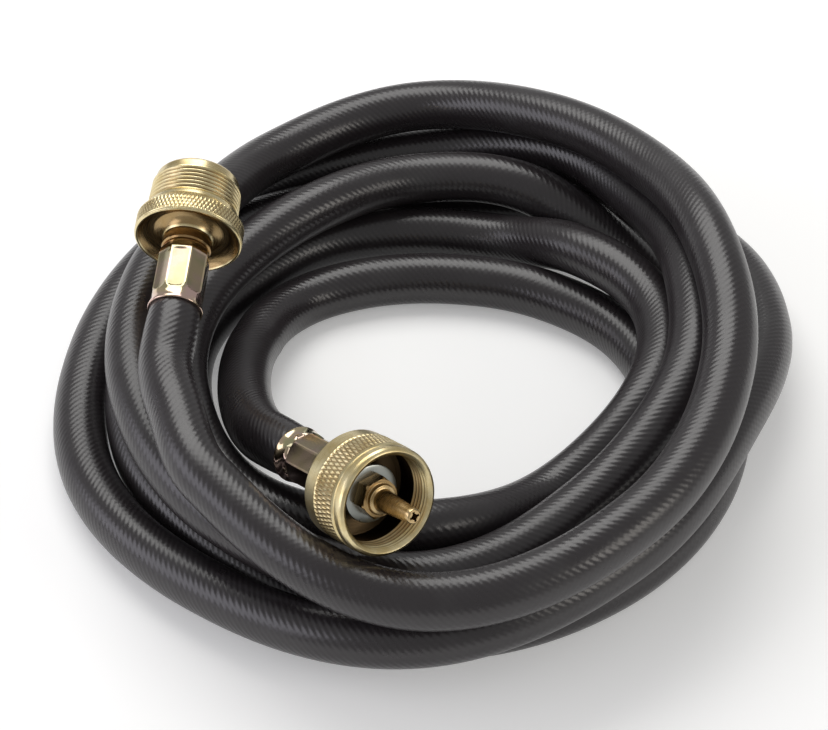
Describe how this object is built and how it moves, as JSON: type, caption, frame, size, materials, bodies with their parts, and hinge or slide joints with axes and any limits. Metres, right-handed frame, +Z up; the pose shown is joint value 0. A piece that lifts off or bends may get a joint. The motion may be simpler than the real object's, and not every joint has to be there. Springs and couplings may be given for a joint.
{
  "type": "propane extension hose",
  "caption": "Coiled black rubber gas hose with crimped ferrules, a male-threaded brass outlet and a knurled swivel nut with a probe.",
  "frame": {"origin": "centre of the bounding box's base, on the floor that the coil lies on", "axes": "+Z up; the outlet points towards +Y and the inlet towards +X and -Y"},
  "size_m": [0.2063, 0.2216, 0.0693],
  "materials": {
    "hose_rubber": "satin black with a fine braid showing through",
    "seal_rubber": "matte",
    "yellow_zinc": "glossy yellow zinc plating",
    "grey_zinc": "satin zinc plating",
    "brass": "satin machined",
    "stem_brass": "satin, coppery",
    "probe_brass": "satin, dark"
  },
  "bodies": {
    "coil": {"hose": "hose_rubber", "outlet_ferrule": "yellow_zinc", "outlet_stem": "stem_brass", "outlet_body": "brass", "outlet_seal": "seal_rubber", "seal_retainer": "brass", "inlet_ferrule": "yellow_zinc", "inlet_stem": "stem_brass", "thrust_washer": "grey_zinc", "probe": "probe_brass"},
    "nut": {"swivel_nut": "brass"}
  },
  "joints": [
    {"name": "nut_swivel", "type": "hinge", "parent": "coil", "child": "nut", "pos_m": [-0.0142, -0.08378, 0.04994], "axis": [0.5572, -0.753, 0.3502], "continuous": true}
  ]
}
